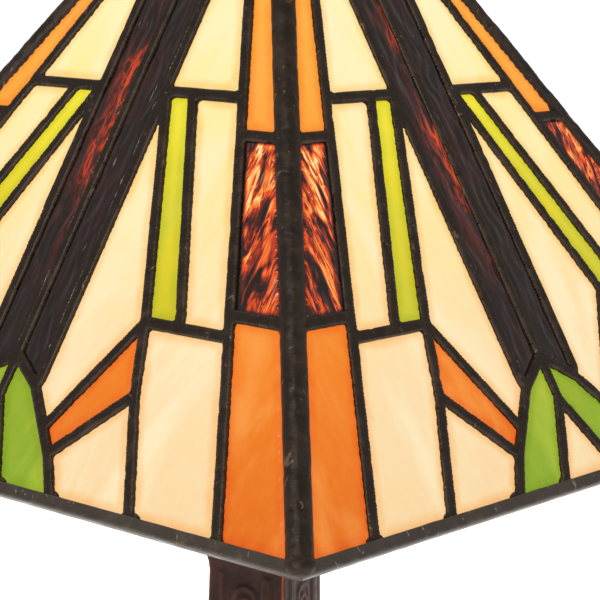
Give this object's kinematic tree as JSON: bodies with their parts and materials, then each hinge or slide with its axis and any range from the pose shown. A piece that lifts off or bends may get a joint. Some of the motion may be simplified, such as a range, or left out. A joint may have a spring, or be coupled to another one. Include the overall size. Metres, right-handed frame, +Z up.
{
  "type": "stained glass table lamp",
  "caption": "Table lamp with a four-sided pyramid shade of soldered art glass on a square column and stepped foot; shade lifts off, bulbs and switch keys turn.",
  "frame": {"origin": "on the floor under the lamp's axis", "axes": "+Z up the lamp's axis, the shade's faces square to X and Y, the front face towards -Y"},
  "size_m": [0.3578, 0.3578, 0.576],
  "materials": {
    "cream_glass": "opalescent, lit from behind",
    "green_glass": "streaky yellow-green opalescent",
    "patina_solder": "black-brown patina, lumpy satin",
    "orange_glass": "swirled orange opalescent",
    "patina_channel": "black-brown patina, worn lip",
    "ripple_glass": "clear dark amber, heavy ripple",
    "ballast_iron": "rough cast",
    "cover_steel": "plain",
    "nickel_contact": "plated",
    "bulb_glass": "frosted, glowing",
    "aged_brass": "aged",
    "bronze_casting": "mahogany bronze, rubbed copper edges",
    "bronze_hardware": "dark bronze, satin",
    "rubber": "moulded",
    "felt": "dark green felt",
    "zinc_steel": "zinc plated",
    "socket_ceramic": "glazed",
    "key_plastic": "moulded"
  },
  "bodies": {
    "root": {"ballast_plate": "ballast_iron", "bottom_cover": "cover_steel", "centre_contact_back": "nickel_contact", "centre_contact_front": "nickel_contact", "cluster_arms": "aged_brass", "cluster_cup": "aged_brass", "column": "bronze_casting", "column_cap": "bronze_hardware", "cord_bushing": "rubber", "cover_screws": "cover_steel", "felt_pad": "felt", "foot_shell": "bronze_casting", "rod_nuts": "zinc_steel", "rod_washers": "zinc_steel", "socket_cap_back": "aged_brass", "socket_cap_front": "aged_brass", "socket_liner_back": "socket_ceramic", "socket_liner_front": "socket_ceramic", "socket_shell_back": "aged_brass", "socket_shell_front": "aged_brass", "threaded_rod": "zinc_steel"},
    "shade": {"back_cream_glass": "cream_glass", "back_green_glass": "green_glass", "back_left_hip_bead": "patina_solder", "back_orange_glass": "orange_glass", "back_right_hip_bead": "patina_solder", "back_rim_channel": "patina_channel", "back_ripple_glass": "ripple_glass", "back_solder_lines": "patina_solder", "front_cream_glass": "cream_glass", "front_green_glass": "green_glass", "front_left_hip_bead": "patina_solder", "front_orange_glass": "orange_glass", "front_right_hip_bead": "patina_solder", "front_rim_channel": "patina_channel", "front_ripple_glass": "ripple_glass", "front_solder_lines": "patina_solder", "left_cream_glass": "cream_glass", "left_green_glass": "green_glass", "left_orange_glass": "orange_glass", "left_rim_channel": "patina_channel", "left_ripple_glass": "ripple_glass", "left_solder_lines": "patina_solder", "right_cream_glass": "cream_glass", "right_green_glass": "green_glass", "right_orange_glass": "orange_glass", "right_rim_channel": "patina_channel", "right_ripple_glass": "ripple_glass", "right_solder_lines": "patina_solder", "top_ring": "bronze_hardware", "vase_cap": "bronze_hardware"},
    "finial": {"finial": "bronze_hardware"},
    "bulb_front": {"bulb_base_front": "nickel_contact", "bulb_glass_front": "bulb_glass"},
    "key_front": {"turn_key_front": "key_plastic"},
    "bulb_back": {"bulb_base_back": "nickel_contact", "bulb_glass_back": "bulb_glass"},
    "key_back": {"turn_key_back": "key_plastic"}
  },
  "joints": [
    {"name": "shade_lift", "type": "slide", "parent": "root", "child": "shade", "axis": [0, 0, 1], "range_m": [0, 0.2]},
    {"name": "finial_turn", "type": "hinge", "parent": "shade", "child": "finial", "pos_m": [0, 0, 0.555], "axis": [0, 0, 1], "continuous": true},
    {"name": "bulb_turn_front", "type": "hinge", "parent": "root", "child": "bulb_front", "pos_m": [0.03111, -0.03111, 0.345], "axis": [0, 0, 1], "continuous": true},
    {"name": "key_turn_front", "type": "hinge", "parent": "root", "child": "key_front", "pos_m": [0.03111, -0.03111, 0.322], "axis": [0.7071, -0.7071, 0], "continuous": true},
    {"name": "bulb_turn_back", "type": "hinge", "parent": "root", "child": "bulb_back", "pos_m": [-0.03111, 0.03111, 0.345], "axis": [0, 0, 1], "continuous": true},
    {"name": "key_turn_back", "type": "hinge", "parent": "root", "child": "key_back", "pos_m": [-0.03111, 0.03111, 0.322], "axis": [-0.7071, 0.7071, 0], "continuous": true}
  ]
}
